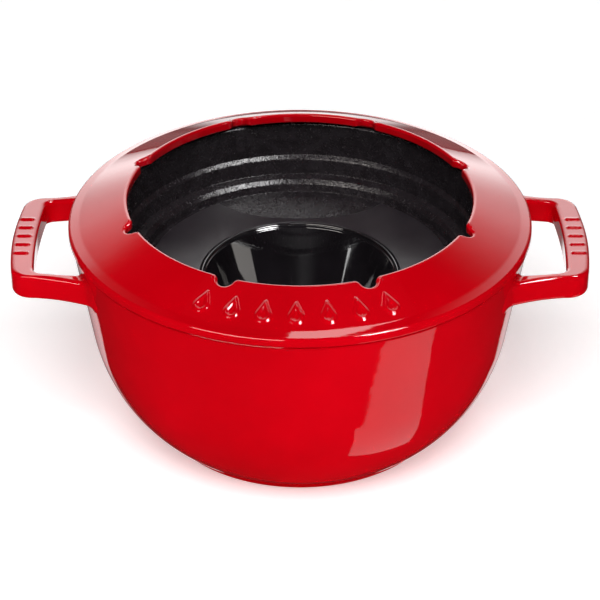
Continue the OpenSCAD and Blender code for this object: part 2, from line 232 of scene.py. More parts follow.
def lathe(name, outline, steps=256, shape=None, paint=None):
    """A closed outline of (radius, height) turned about Z. shape may move the points, and paint
    gives the material's number of each stretch of the outline."""
    outline = np.array(outline, float)
    angles = np.linspace(0, 2 * math.pi, steps, endpoint=False)
    x = outline[:, 0][:, None] * np.cos(angles)
    y = outline[:, 0][:, None] * np.sin(angles)
    z = np.repeat(outline[:, 1][:, None], steps, 1)
    verts = np.stack([x, y, z], -1).reshape(-1, 3)
    if shape:
        verts = shape(verts)
    faces = grid_faces(len(outline), steps)
    colours = None if paint is None else [paint[f // steps] for f in range(len(faces))]
    return finish_mesh(name, verts, faces, colours)


def ribbon(name, edge, rows, shape=None):
    """A ring whose one edge follows any outline. edge is that outline, with one column of the
    mesh for each point. Each row is (offset from the edge or None, radius or None, share, height):
    share 0 lies on the edge's offset, 1 on the circle, and between them it blends the two."""
    edge = np.array(edge, float)
    along = np.roll(edge, -1, 0) - np.roll(edge, 1, 0)
    inward = np.stack([along[:, 1], -along[:, 0]], 1)
    inward /= np.linalg.norm(inward, axis=1)[:, None]
    radial = edge / np.linalg.norm(edge, axis=1)[:, None]
    verts = []
    for offset, radius, share, height in rows:
        on_edge = edge + inward * (offset or 0)
        on_circle = radial * (radius or 0)
        xy = on_edge * (1 - share) + on_circle * share
        z = height(np.linalg.norm(xy, axis=1)) if callable(height) else np.full(len(xy), height)
        verts.append(np.column_stack([xy, z]))
    verts = np.concatenate(verts)
    if shape:
        verts = shape(verts)
    return finish_mesh(name, verts, grid_faces(len(rows), len(edge)))


def flat_with_holes(name, loops, z, thickness, bevel):
    """A flat sheet with holes: each loop is a closed line of (x, y) points in millimetres."""
    curve = bpy.data.curves.new(name, "CURVE")
    curve.dimensions = "2D"
    curve.fill_mode = "BOTH"
    curve.extrude = (thickness / 2 - bevel) * MM
    curve.bevel_depth = bevel * MM
    curve.offset = -bevel * MM
    curve.bevel_resolution = 2
    for loop in loops:
        line = curve.splines.new("POLY")
        line.points.add(len(loop) - 1)
        for p, (x, y) in zip(line.points, loop):
            p.co = (x * MM, y * MM, 0, 1)
        line.use_cyclic_u = True
    piece = link(name, curve)
    bpy.context.view_layer.update()
    depsgraph = bpy.context.evaluated_depsgraph_get()
    mesh = bpy.data.meshes.new_from_object(piece.evaluated_get(depsgraph))
    bpy.data.objects.remove(piece)
    mesh.transform(Matrix.Translation((0, 0, z * MM)))
    mesh.name = name
    clean(mesh, 1e-6)
    return link(name, mesh)


def circle(r, n=96, centre=(0, 0), way=1):
    return [(centre[0] + r * math.cos(way * 2 * math.pi * i / n),
             centre[1] + r * math.sin(way * 2 * math.pi * i / n)) for i in range(n)]


def join(name, pieces):
    """One object made of several closed shells."""
    bpy.ops.object.select_all(action="DESELECT")
    for p in pieces:
        p.modifiers.clear()
        p.select_set(True)
    bpy.context.view_layer.objects.active = pieces[0]
    bpy.ops.object.join()
    pieces[0].name = name
    pieces[0].data.name = name
    return pieces[0]


def tube(path, r, sides, closed=False):
    """Points and faces of a round wire along a path of points, in millimetres."""
    path = np.array(path, float)
    if closed:
        along = np.roll(path, -1, 0) - np.roll(path, 1, 0)
    else:
        along = np.gradient(path, axis=0)
    along /= np.linalg.norm(along, axis=1)[:, None]
    up = np.tile([0.0, 0.0, 1.0], (len(path), 1))
    side = np.cross(along, up)
    side /= np.linalg.norm(side, axis=1)[:, None]
    top = np.cross(side, along)
    rings = []
    for k in range(sides):
        a = 2 * math.pi * k / sides
        rings.append(path + r * (math.cos(a) * side + math.sin(a) * top))
    verts = np.stack(rings, 1).reshape(-1, 3)
    faces = grid_faces(len(path), sides, close_rows=closed)
    if not closed:
        faces.append(tuple(range(sides - 1, -1, -1)))
        faces.append(tuple(range((len(path) - 1) * sides, len(path) * sides)))
    return verts, faces


def over(node):
    """A shape function that moves a lathed piece from the Z axis to the middle of a node's box."""
    lo, hi = span(node)
    return lambda verts: verts + np.array([(lo[0] + hi[0]) / 2, (lo[1] + hi[1]) / 2, 0])


# -------- materials
class Look:
    """A Principled material with short calls for its noise, colour and bump nodes."""

    def __init__(self, name, colour, roughness, metallic=0.0, **sockets):
        self.material = bpy.data.materials.new(name)
        self.material.use_nodes = True
        self.tree = self.material.node_tree
        self.shader = self.tree.nodes["Principled BSDF"]
        self.set("Base Color", (*colour, 1))
        self.set("Roughness", roughness)
        self.set("Metallic", metallic)
        for socket, value in sockets.items():
            self.set(socket.replace("_", " "), value)
        self.place = self.tree.nodes.new("ShaderNodeTexCoord").outputs["Object"]

    def set(self, socket, value):
        self.shader.inputs[socket].default_value = value

    def link(self, out, into):
        self.tree.links.new(out, into)

    def stretched(self, scale):
        mapping = self.tree.nodes.new("ShaderNodeMapping")
        mapping.inputs["Scale"].default_value = scale
        self.link(self.place, mapping.inputs["Vector"])
        return mapping.outputs["Vector"]

    def noise(self, scale, detail, stretch=None):
        node = self.tree.nodes.new("ShaderNodeTexNoise")
        node.inputs["Scale"].default_value = scale
        node.inputs["Detail"].default_value = detail
        node.inputs["Roughness"].default_value = 0.55
        self.link(self.stretched(stretch) if stretch else self.place, node.inputs["Vector"])
        return node.outputs["Fac"]

    def grains(self, scale):
        node = self.tree.nodes.new("ShaderNodeTexVoronoi")
        node.inputs["Scale"].default_value = scale
        node.inputs["Randomness"].default_value = 1.0
        self.link(self.place, node.inputs["Vector"])
        return node.outputs["Distance"]

    def spread(self, value, low_in, high_in, low_out, high_out):
        node = self.tree.nodes.new("ShaderNodeMapRange")
        for socket, v in zip(("From Min", "From Max", "To Min", "To Max"),
                             (low_in, high_in, low_out, high_out)):
            node.inputs[socket].default_value = v
        self.link(value, node.inputs["Value"])
        return node.outputs["Result"]

    def colours(self, value, stops):
        node = self.tree.nodes.new("ShaderNodeValToRGB")
        band = node.color_ramp
        while len(band.elements) < len(stops):
            band.elements.new(0.5)
        for element, (at, colour) in zip(band.elements, stops):
            element.position = at
            element.color = (*colour, 1)
        self.link(value, node.inputs["Fac"])
        self.link(node.outputs["Color"], self.shader.inputs["Base Color"])

    def roughness(self, value, low_in, high_in, low_out, high_out):
        self.link(self.spread(value, low_in, high_in, low_out, high_out),
                  self.shader.inputs["Roughness"])

    def bump(self, height, distance):
        """Adds a bump of so many millimetres over the bumps made before it."""
        node = self.tree.nodes.new("ShaderNodeBump")
        node.inputs["Distance"].default_value = distance * MM
        node.inputs["Strength"].default_value = 1.0
        self.link(height, node.inputs["Height"])
        if self.shader.inputs["Normal"].links:
            self.link(self.shader.inputs["Normal"].links[0].from_socket, node.inputs["Normal"])
        self.link(node.outputs["Normal"], self.shader.inputs["Normal"])


def blend(name, base, tint, gloss=None, bumps=(), **sockets):
    """A material. base is (colour, roughness, metallic or nothing). tint is the noise of its
    colour and its stops, gloss the noise of its roughness and its spread, and each bump a noise
    and a height in millimetres. A noise is (scale, detail) and an optional stretch."""
    look = Look(name, *base, **sockets)
    look.colours(look.noise(*tint[0]), tint[1])
    if gloss:
        look.roughness(look.noise(*gloss[0]), *gloss[1])
    for noise, height in bumps:
        look.bump(look.noise(*noise), height)
    return look


# Glossy cherry-red glass enamel, with slow waves and small changes of depth in its colour.
RED = blend("cherry_red_enamel", ((0.57, 0.0, 0.005), 0.1),
            ((9, 4), [(0.35, (0.51, 0.0, 0.004)), (0.52, (0.58, 0.0, 0.005)),
                      (0.68, (0.64, 0.0, 0.006))]),
            ((60, 2), (0.35, 0.65, 0.03, 0.055)),
            [((38, 1.5), 0.08), ((190, 1.5), 0.02)], IOR=1.52).material
# Matt black enamel with the fine grain of the casting under it.
GRAINED_LOOK = blend("grained_black_enamel", ((0.016, 0.013, 0.015), 0.26),
                     ((160, 4), [(0.35, (0.012, 0.0095, 0.011)), (0.7, (0.021, 0.0175, 0.02))]),
                     ((300, 3), (0.3, 0.7, 0.2, 0.3)), IOR=1.5)
GRAINED_LOOK.bump(GRAINED_LOOK.grains(950), 0.14)
GRAINED = GRAINED_LOOK.material
# Smooth black enamel with a soft sheen.
SATIN = blend("satin_black_enamel", ((0.02, 0.017, 0.02), 0.34),
              ((45, 4), [(0.35, (0.016, 0.013, 0.016)), (0.65, (0.025, 0.021, 0.024))]),
              ((120, 3), (0.3, 0.7, 0.28, 0.38)), [((700, 2), 0.02)], IOR=1.5).material
# Wet-looking black enamel, with faint waves.
GLOSS = blend("gloss_black_enamel", ((0.008, 0.007, 0.008), 0.05),
              ((30, 3), [(0.35, (0.006, 0.005, 0.006)), (0.65, (0.011, 0.009, 0.011))]),
              ((90, 2), (0.35, 0.65, 0.03, 0.06)), [((45, 1.5), 0.03)], IOR=2.0).material
# Pressed steel with turning marks, darkened a little by heat.
STREAKS = (60, 4, (1, 1, 26))
STEEL = blend("pressed_steel", ((0.6, 0.59, 0.57), 0.3, 1.0),
              ((28, 4), [(0.3, (0.50, 0.48, 0.45)), (0.55, (0.62, 0.61, 0.59)),
                         (0.8, (0.68, 0.67, 0.66))]),
              (STREAKS, (0.3, 0.7, 0.22, 0.42)), [(STREAKS, 0.015)]).material
WIRE = blend("bright_wire", ((0.55, 0.54, 0.52), 0.3, 1.0),
             ((180, 3), [(0.3, (0.42, 0.40, 0.37)), (0.7, (0.62, 0.61, 0.59))]),
             ((400, 2), (0.3, 0.7, 0.24, 0.42))).material
# Off-white mineral wool that soaks up the fuel.
WOOL = blend("mineral_wool", ((0.8, 0.77, 0.7), 0.95),
             ((260, 5), [(0.3, (0.62, 0.58, 0.5)), (0.6, (0.84, 0.82, 0.76))]),
             bumps=[((900, 4, (1, 3, 1)), 0.25)], Sheen_Weight=0.35, Sheen_Roughness=0.6).material
# Moulded black heat-proof knob material.
BAKELITE = blend("moulded_black", ((0.012, 0.011, 0.011), 0.25),
                 ((150, 3), [(0.3, (0.010, 0.009, 0.009)), (0.7, (0.018, 0.016, 0.015))]),
                 ((220, 2), (0.3, 0.7, 0.2, 0.32)), [((1100, 2), 0.01)], IOR=1.55).material
SCREW = blend("turned_screw", ((0.72, 0.72, 0.73), 0.16, 1.0),
              ((120, 2), [(0.3, (0.6, 0.6, 0.6)), (0.7, (0.75, 0.75, 0.76))]),
              ((500, 2, (1, 1, 12)), (0.3, 0.7, 0.12, 0.24))).material


def pale_floor():
    """White studio floor that glows a little, and more so far from the object."""
    look = blend("pale_floor", ((0.94, 0.94, 0.94), 0.7),
                 ((2, 2), [(0.3, (0.93, 0.93, 0.93)), (0.7, (0.95, 0.95, 0.95))]),
                 Emission_Color=(1, 1, 1, 1))
    away = look.tree.nodes.new("ShaderNodeVectorMath")
    away.operation = "LENGTH"
    look.link(look.place, away.inputs[0])
    near, far, near_glow, far_glow = 0.4, 1.8, 0.44, 1.0
    look.link(look.spread(away.outputs["Value"], near, far, near_glow, far_glow),
              look.shader.inputs["Emission Strength"])
    return look.material


MATERIALS = {"red_enamel": RED, "rough_black_enamel": GRAINED, "satin_black_enamel": SATIN,
             "gloss_black_enamel": GLOSS, "sheet_steel": STEEL, "gauze_wire": WIRE,
             "fuel_wadding": WOOL, "bakelite": BAKELITE, "screw_steel": SCREW}


def dress(piece, body, slot, node, *more):
    """Gives a piece its body, the material of its slot and any more materials, and hides the CAD
    node that it stands for."""
    piece.data.materials.clear()
    for material in (MATERIALS[slot], *more):
        piece.data.materials.append(material)
    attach(piece, body)
    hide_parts(node)


# -------- pot and handles
def wall_radius(z, depth=0.0):
    """Radius of the pot's straight upper wall at height z, moved inwards by depth."""
    return RIM_R - math.tan(WALL_TAPER) * (RIM_Z - z) - depth / math.cos(WALL_TAPER)


BELLY_X = wall_radius(BELLY_Z) - BELLY_R / math.cos(WALL_TAPER)


def pot():
    foot_a = -math.degrees(math.asin((BELLY_Z - BELLY_LOW_Z) / BELLY_R))
    rise = BELLY_Z - FLOOR_Z - FLOOR_FILLET
    reach = BELLY_R - WALL_T - FLOOR_FILLET
    floor_a = -math.degrees(math.asin(rise / reach))
    floor_x = BELLY_X + math.sqrt(reach ** 2 - rise ** 2)
    taper = math.degrees(WALL_TAPER)
    inside = [(0, FLOOR_Z), (floor_x * 0.5, FLOOR_Z)]
    inside += arc((floor_x, FLOOR_Z + FLOOR_FILLET), FLOOR_FILLET, -90, floor_a, 12)
    inside += arc((BELLY_X, BELLY_Z), BELLY_R - WALL_T, floor_a, -taper, 28)[1:]
    blend_z = LEDGE_Z - LEDGE_T - LEDGE_BLEND
    inside += soften([(wall_radius(blend_z - 8, WALL_T), blend_z - 8),
                      (wall_radius(blend_z, WALL_T), blend_z, 8), (LEDGE_R, LEDGE_Z - LEDGE_T, 2),
                      (LEDGE_R, LEDGE_Z, 0.7), (wall_radius(LEDGE_Z, WALL_T), LEDGE_Z, 0.6),
                      (wall_radius(RIM_Z, WALL_T), RIM_Z, 1.0), (RIM_R - 2.5, RIM_Z)])[1:-1]
    rim = arc((wall_radius(RIM_Z - 1.3) - 1.3, RIM_Z - 1.3), 1.3, 90, -taper, 6)
    wall = [(wall_radius(z), z) for z in np.linspace(RIM_Z - 6, BELLY_Z - 14, 8)]
    wall += arc((BELLY_X, BELLY_Z), BELLY_R, -taper, foot_a, 40)
    foot = soften([wall[-4], (*wall[-1], 2.0), (FOOT_R - GROOVE_D, FOOT_H + GROOVE_H, 0.9),
                   (FOOT_R, FOOT_H, 0.9), (FOOT_R, 0, 1.4), (FOOT_R - FOOT_W, 0, 1.2),
                   (FOOT_R - FOOT_W - 1.6, FOOT_HOLLOW, 1), (40, FOOT_HOLLOW)])[1:]
    outline = inside + rim + wall[:-3] + foot + [(0, FOOT_HOLLOW)]
    paint = [1 if i < len(inside) - 1 else 0 for i in range(len(outline))]  # black inside
    dress(lathe("pot_casting", outline, 320, paint=paint), "pot", "red_enamel", "pot", GRAINED)


def handle_stations():
    """Outer and inner edge points of the right handle, side by side along the loop."""
    corner_x = HANDLE_REACH - HANDLE_BOW
    window_x = HANDLE_REACH - GRIP_W
    corner_y = WINDOW_HALF + WINDOW_CORNER
    half = HANDLE_HALF
    outer = bend((HANDLE_ROOT, half + HANDLE_FLARE), (HANDLE_ROOT + 16, half + 3),
                 (corner_x - HANDLE_CORNER, half), 26)[:-1]
    outer += bend((corner_x - HANDLE_CORNER, half), (corner_x - 0.6, half),
                  (corner_x + 0.4, half - HANDLE_CORNER), 18)[:-1]
    outer += bend((corner_x + 0.4, half - HANDLE_CORNER), (HANDLE_REACH, half / 3),
                  (HANDLE_REACH, 0), 60)
    inner = bend((HANDLE_ROOT, corner_y + 3), (window_x - 20, corner_y + 0.8),
                 (window_x - 8, corner_y - 0.1), 26)[:-1]
    inner += bend((window_x - 8, corner_y - 0.1), (window_x - 1.8, corner_y - 0.6),
                  (window_x - 1.6, WINDOW_HALF - 3), 18)[:-1]
    inner += bend((window_x - 1.6, WINDOW_HALF - 3), (window_x, half / 3), (window_x, 0), 60)
    deeper, wider = 7.0, 3.5  # how far the loop goes on from its root into the pot's wall
    steps = (1.0, 0.66, 0.33)
    outer = [(outer[0][0] - deeper * k, outer[0][1] + wider * k) for k in steps] + outer
    inner = [(inner[0][0] - deeper * k, inner[0][1]) for k in steps] + inner
    mirror = np.array([1, -1])
    outer, inner = np.array(outer), np.array(inner)
    return (np.concatenate([outer, outer[-2::-1] * mirror]),
            np.concatenate([inner, inner[-2::-1] * mirror]))


def bar_section(width, bottom, top, edge):
    """Rounded section of the bar: (distance across from the inner edge, height, normal). Its top
    has a row of extra points for the ribs."""
    round_steps, top_steps = 7, 26
    corners = [(0, bottom, -135), (width, bottom, -45), (width, top, 45), (0, top, 135)]
    centre_x, centre_z = width / 2, (bottom + top) / 2
    points = []
    for x, z, facing in corners:
        cx = x + (edge if x < centre_x else -edge)
        cz = z + (edge if z < centre_z else -edge)
        for a in np.radians(np.linspace(facing - 45, facing + 45, round_steps)):
            points.append((cx + edge * math.cos(a), cz + edge * math.sin(a),
                           math.cos(a), math.sin(a)))
    points = np.array(points)
    top_start = 3 * round_steps - 1
    across = np.linspace(0, 1, top_steps)[1:-1]
    right, left = points[top_start], points[top_start + 1]
    top_row = np.array([right * (1 - s) + left * s for s in across])
    return np.concatenate([points[:top_start + 1], top_row, points[top_start + 1:]])


def outside_wall(xy, z):
    """Distance of points from the pot's wall, measured level and positive outside it."""
    return np.hypot(xy[:, 0], xy[:, 1]) - wall_radius(z)


def handle(name, side):
    """One loop handle. Near the wall the bar swells into a fillet, and its ends are pulled in to
    one depth below the wall's surface."""
    outer, inner = handle_stations()
    edge, fillet, fillet_share, sunk = 2.7, 3.2, 0.9, -2.4
    rows = []
    for out_xy, in_xy in zip(outer, inner):
        across = out_xy - in_xy
        width = np.linalg.norm(across)
        across = across / width
        section = bar_section(width, HANDLE_LOW, HANDLE_TOP, edge)
        xy = in_xy + section[:, :1] * across
        near = np.clip(fillet - np.maximum(outside_wall(xy, section[:, 1]), 0), 0, fillet)
        swell = fillet_share * (fillet - np.sqrt(fillet ** 2 - near ** 2))
        xy = xy + swell[:, None] * section[:, 2:3] * across
        z = section[:, 1] + swell * section[:, 3]
        radius = np.hypot(xy[:, 0], xy[:, 1])
        pull = np.where(outside_wall(xy, z) < sunk, (wall_radius(z) + sunk) / radius, 1.0)
        xy = xy * pull[:, None]
        rows.append(np.column_stack([xy, z]))
    verts = np.array(rows)
    count, around = verts.shape[:2]
    verts = verts.reshape(-1, 3)
    verts[:, 2] += rib_relief(verts) * ramp(verts[:, 2], HANDLE_TOP - 0.4, HANDLE_TOP - 0.1)
    verts[:, 0] *= side
    faces = grid_faces(count, around, close_rows=False)
    faces.append(tuple(range(around)))
    faces.append(tuple(range((count - 1) * around, count * around)))
    piece = finish_mesh(name, verts, faces)
    dress(piece, "pot", "red_enamel", "right_handle" if side > 0 else "left_handle")


def rib_relief(verts):
    """Height of the raised grip ribs over the handle's top: short bars with round ends."""
    mid = HANDLE_REACH - GRIP_W / 2
    height = np.zeros(len(verts))
    for i in range(RIBS):
        y = (i - (RIBS - 1) / 2) * RIB_PITCH
        along = np.maximum(np.abs(verts[:, 0] - mid) - (RIB_LEN - RIB_W) / 2, 0)
        away = np.hypot(along, verts[:, 1] - y) - RIB_W / 2
        height = np.maximum(height, RIB_PROUD * ramp(-away, -0.7, 0.9))
    return height


# -------- fork ring
def ring_height(r):
    return RING_TOP - math.tan(RING_SLOPE) * (r - RING_BORE - 1)


def notch_edge():
    """One fork notch in plan, pointing along +X: a round bottom and a softened mouth."""
    half = NOTCH_W / 2
    centre = RING_BORE + NOTCH_DEPTH - half
    side = half * math.sin(math.radians(72))
    lip = centre + half * math.cos(math.radians(72))
    mouth_y = half + 2.2
    mouth = (math.sqrt(RING_BORE ** 2 - mouth_y ** 2), -mouth_y)
    ease = bend(mouth, (lip - 1.3, -half - 0.1), (lip, -side), 7)
    bottom = arc((centre, 0), half, -72, 72, 18)[1:-1]
    return ease + bottom + [(x, -y) for x, y in reversed(ease)]


def ring_edge():
    """The ring's inner edge all round: arcs of the opening and the fork notches between them."""
    notch = notch_edge()
    reach = math.atan2(notch[-1][1], notch[-1][0])
    pitch = 2 * math.pi / NOTCHES
    front = -math.pi / 2 + RING_TURN
    edge = []
    for i in range(NOTCHES):
        turn = front + (i + 0.5) * pitch
        c, s = math.cos(turn), math.sin(turn)
        edge += [(x * c - y * s, x * s + y * c) for x, y in notch]
        start, end = turn + reach, turn + pitch - reach
        decorated = i in (NOTCHES - 2, NOTCHES - 1, 0)
        steps = 150 if decorated else 34  # more columns under the flames
        edge += [polar(RING_BORE, a) for a in np.linspace(start, end, steps + 2)[1:-1]]
    return edge


def flame_relief(verts):
    """Raises the row of flame outlines on the front of the ring."""
    x, y, z = verts.T
    radius, angle = np.hypot(x, y), np.arctan2(y, x) - (-math.pi / 2 + RING_TURN)
    angle = (angle + math.pi) % (2 * math.pi) - math.pi
    lift = np.zeros(len(verts))
    big, small = BAND_W / 2, 0.5
    length = BAND_LEN - big - small
    lean = (big - small) / length
    for i in range(BAND_COUNT):
        at = (i / (BAND_COUNT - 1) - 0.5) * BAND_SPAN
        across = np.abs(radius * np.sin(angle - at))
        along = BAND_LEN / 2 - big - (radius * np.cos(angle - at) - BAND_R)
        # Distance to a round drop that narrows towards the opening.
        k = -across * lean + along * math.sqrt(1 - lean ** 2)
        body = across * math.sqrt(1 - lean ** 2) + along * lean - big
        tip = np.hypot(across, along - length) - small
        base = np.hypot(across, along) - big
        inside_k = k / (length * math.sqrt(1 - lean ** 2))
        away = np.where(inside_k < 0, base, np.where(inside_k > 1, tip, body))
        line = np.abs(away + BAND_LINE / 2) - BAND_LINE / 2
        lift = np.maximum(lift, RELIEF * ramp(-line, -0.5, 0.9))
    on_top = ramp(z - (ring_height(radius) - 0.5), 0, 0.4)
    verts[:, 2] += lift * on_top
    return verts


def fork_ring():
    lip_round, low_round, shoulder, base_round = 1.5, 1.3, 2.6, 1.1
    crest = math.pi / 2 + RING_SLOPE
    lip_reach = lip_round * (1 - math.cos(crest))
    lip_z = float(ring_height(RING_BORE + lip_reach)) - lip_round * math.sin(crest)
    low_z = lambda r: ring_height(r) - RING_LIP
    rows = []
    for a in np.radians(np.linspace(90, 0, 6)):
        rows.append((low_round * (1 - math.cos(a)), None, 0,
                     lambda r, rise=low_round * (1 - math.sin(a)):
                     low_z(np.maximum(r, RING_BORE + 2)) + rise))
    for a in np.linspace(0, crest, 13):
        reach, rise = lip_round * (1 - math.cos(a)), lip_round * math.sin(a)
        rows.append((reach, None, 0, lambda r, reach=reach, rise=rise:
                     lip_z + rise + ring_height(r - reach) - ring_height(RING_BORE)))
    band_start, band_end, under_r = 106.6, 121.7, 112
    for share in (0.12, 0.3, 0.52, 0.76):
        rows.append((lip_reach, band_start, share, ring_height))
    for r in [*np.arange(band_start, band_end, 0.5), 123.0, 124.6]:
        rows.append((None, r, 1, ring_height))
    centre_r = RING_R - shoulder
    centre_z = ring_height(RING_R) - 0.9
    side = arc((centre_r, centre_z), shoulder, 90 - math.degrees(RING_SLOPE), 0, 9)
    side += arc((RING_R - base_round, RING_BASE + base_round), base_round, 0, -90, 5)
    under = soften([(SPIGOT_R + 3, RING_BASE), (SPIGOT_R, RING_BASE, 0.4),
                    (SPIGOT_R, SPIGOT_LOW, 0.7), (SPIGOT_R - SPIGOT_W, SPIGOT_LOW, 0.7),
                    (SPIGOT_R - SPIGOT_W, low_z(SPIGOT_R - SPIGOT_W), 1.5),
                    (under_r, low_z(under_r))], 4)[1:]
    rows += [(None, x, 1, z) for x, z in side + under]
    rows.append((low_round, under_r, 0.4, low_z))
    piece = ribbon("notched_fork_ring", ring_edge(), rows, shape=flame_relief)
    dress(piece, "ring", "red_enamel", "fork_ring")


# -------- insert, plate and cup
def insert():
    out_r = INSERT_R + INSERT_T
    outline = soften([
        (out_r, FLANGE_Z + INSERT_T, 1.2), (out_r, INSERT_TOP, 1.0), (INSERT_R, INSERT_TOP, 1.1),
        (INSERT_R - 0.2, STEP1_Z + 2.6, 0.4), (STEP1_R + 0.1, STEP1_Z + 0.3, 3.0),
        (STEP1_R - 1.2, STEP2_Z + 2.9, 0.4), (STEP2_R + 2.2, STEP2_Z + 1.5, 1.5),
        (STEP2_R + 0.1, STEP2_Z - 1.0, 2.0), (STEP2_R - 1.2, SEAT_Z + 0.2, 0.4),
        (SEAT_R, SEAT_Z, 2.5),
        (INSERT_BORE, 85, 1.2), (INSERT_BORE, INSERT_LOW, 1.2),
        (SEAT_R - 2, SEAT_Z - INSERT_T - 0.6, 3), (STEP2_R + 1, SEAT_Z - INSERT_T, 2),
        (STEP2_R + INSERT_T, STEP2_Z - 2.5, 2), (STEP2_R + INSERT_T + 5.4, STEP2_Z, 2),
        (STEP1_R + INSERT_T + 1, STEP1_Z - 1, 2), (out_r - 0.2, STEP1_Z + 2, 2),
        (out_r, FLANGE_Z, 1.5), (FLANGE_R, FLANGE_Z, 1.0),
        (FLANGE_R, FLANGE_Z + INSERT_T, 1.0)], 6)
    dress(lathe("stepped_insert_casting", outline, 320), "insert", "rough_black_enamel",
          "stepped_insert")


def plate_edge():
    """The plate's outer edge: a circle with three scallops, blended where they meet."""
    edge = []
    steps, soft, full = 900, 0.9, 2 * math.pi
    for i in range(steps):
        angle = -full * i / steps
        r = PLATE_R
        for k in range(SCALLOPS):
            middle = math.pi / 2 + full * k / SCALLOPS
            off = (angle - middle + math.pi) % full - math.pi
            if abs(off) > full / SCALLOPS / 2:
                continue
            reach = SCALLOP_R
            for _ in range(12):
                side = abs(reach * math.sin(off)) / SCALLOP_HALF
                reach = (SCALLOP_R + SCALLOP_RISE * side ** SCALLOP_POWER) / math.cos(off)
                reach = min(reach, 2 * PLATE_R)
            h = max(0.0, min(1.0, 0.5 + 0.5 * (reach - r) / soft))
            r = reach * (1 - h) + r * h - soft * h * (1 - h)
        edge.append(polar(r, angle))
    return edge


def plate():
    top = lambda r: PLATE_Z - math.tan(PLATE_SLOPE) * (PLATE_R - r)
    bottom = lambda r: top(r) - PLATE_T
    edge_r = 0.9
    bore_z = float(top(PLATE_BORE))
    rows = []
    turns = [(edge_r * (1 - math.cos(a)), edge_r * (1 - math.sin(a)))
             for a in np.radians(np.linspace(0, 90, 6))]
    for reach, drop in turns:
        rows.append((reach, None, 0, lambda r, drop=drop: top(r) - drop))
    for share in (0.1, 0.35, 0.7):
        rows.append((edge_r, PLATE_BORE + 1, share, top))
    rest_top = PLATE_REST + 2.5
    inner = soften([(PLATE_BORE + 1, bore_z + 0.17), (PLATE_BORE, bore_z, 0.5),
                    (PLATE_BORE, rest_top, 0.3), (REST_BORE, rest_top, 0.5),
                    (REST_BORE, PLATE_REST, 0.6), (PLATE_BORE + 1, PLATE_REST, 0.8),
                    (PLATE_BORE + 3, float(bottom(PLATE_BORE + 3)))], 4)
    rows += [(None, x, 1, z) for x, z in inner]
    for share in (0.7, 0.35, 0.1):
        rows.append((edge_r, PLATE_BORE + 3, share, bottom))
    for reach, rise in reversed(turns):
        rows.append((reach, None, 0, lambda r, rise=rise: bottom(r) + rise))
    dress(ribbon("scalloped_burner_plate", plate_edge(), rows), "plate", "satin_black_enamel",
          "burner_plate")


def cup():
    top_r, top_z = BEAD_X - BEAD_R - 1, BEAD_Z - 1
    well_top = top_z - (top_r - WELL_R - 1.2) / math.tan(CONE_LEAN)
    bead = arc((BEAD_X, BEAD_Z), BEAD_R, -100, 205, 20)
    outline = bead + soften([
        (bead[-1][0] - 0.1, bead[-1][1] - 0.4), (top_r, top_z, 1.5), (WELL_R + 1.2, well_top, 2.0),
        (WELL_R, well_top - 1.8, 1.5), (WELL_R, CUP_FLOOR, 3.5), (12, CUP_FLOOR)])[1:]
    outline += [(0, CUP_FLOOR), (0, CUP_FLOOR - CUP_T)]
    well_out = WELL_R + CUP_T
    outline += soften([(12, CUP_FLOOR - CUP_T), (well_out, CUP_FLOOR - CUP_T, 4),
                       (well_out, well_top - 2.2, 2), (well_out + 1.1, well_top - 0.6, 2),
                       (top_r + CUP_T, top_z - 0.4, 0.6), bead[0]])[:-1]

    def notched(verts):
        """Presses a small notch into the rolled rim."""
        x, y, z = verts.T
        aside = -x * math.sin(CUP_NOTCH_A) + y * math.cos(CUP_NOTCH_A)
        facing = x * math.cos(CUP_NOTCH_A) + y * math.sin(CUP_NOTCH_A) > 0
        dip = (1 - ramp(np.abs(aside), CUP_NOTCH_W / 2 - 0.5, CUP_NOTCH_W / 2 + 0.7)) * facing
        floor = BEAD_Z + 0.25
        verts[:, 2] = np.where(z > floor, z - dip * (z - floor), z)
        return verts

    dress(lathe("burner_cup_shell", outline, 360, shape=notched), "cup", "gloss_black_enamel",
          "burner_cup")


# -------- burner
def burner():
    tin()
    wadding()
    gauze()
    spring_ring()
    head()
    regulator()
    lever()
    rivet()
    lever_knob()
    snuffer_lid()
    snuffer_knob()
    knob_screw()


def tin():
    tin_r, tin_z, tin_top = high("fuel_tin")[0], low("fuel_tin")[2], high("fuel_tin")[2]
    groove, groove_half, groove_d = tin_z + 12, 1.2, 0.35
    outline = soften([(0, tin_z), (tin_r, tin_z, 1.6), (tin_r, groove - groove_half, 0.5),
                      (tin_r - groove_d, groove, 0.6), (tin_r, groove + groove_half, 0.5),
                      (tin_r, tin_top, 0.35), (tin_r - SHEET_T, tin_top, 0.35),
                      (tin_r - SHEET_T, tin_z + SHEET_T, 1), (0, tin_z + SHEET_T)])
    dress(lathe("fuel_tin_pan", outline, 160), "tin", "sheet_steel", "fuel_tin")


def wadding():
    """A pad of mineral wool with a lumpy top."""
    r, top, bottom = high("fuel_wadding")[0] - 0.2, high("fuel_wadding")[2], low("fuel_wadding")[2]
    outline = [(0, bottom + 0.2), (r - 0.6, bottom + 0.2), (r, bottom + 0.8), (r, top - 1.4),
               (r - 0.5, top - 0.9)] + [(r * k / 16, top - 0.7) for k in range(15, -1, -1)]
    rng = np.random.default_rng(SEED)
    waves = [(rng.uniform(0.15, 1.2), rng.uniform(0, 2 * math.pi), rng.uniform(0, 2 * math.pi))
             for _ in range(14)]

    def lumpy(verts):
        x, y, z = verts.T
        bump = sum(math.sin(p) * np.sin(k * (x * math.cos(d) + y * math.sin(d)) + p) / k ** 0.4
                   for k, d, p in waves)
        verts[:, 2] = z + np.where(z > top - 1, np.clip(bump * 0.09, -0.5, 0.5), 0)
        return verts

    dress(lathe("fuel_wadding_pad", outline, 128, shape=lumpy), "tin", "fuel_wadding",
          "fuel_wadding")


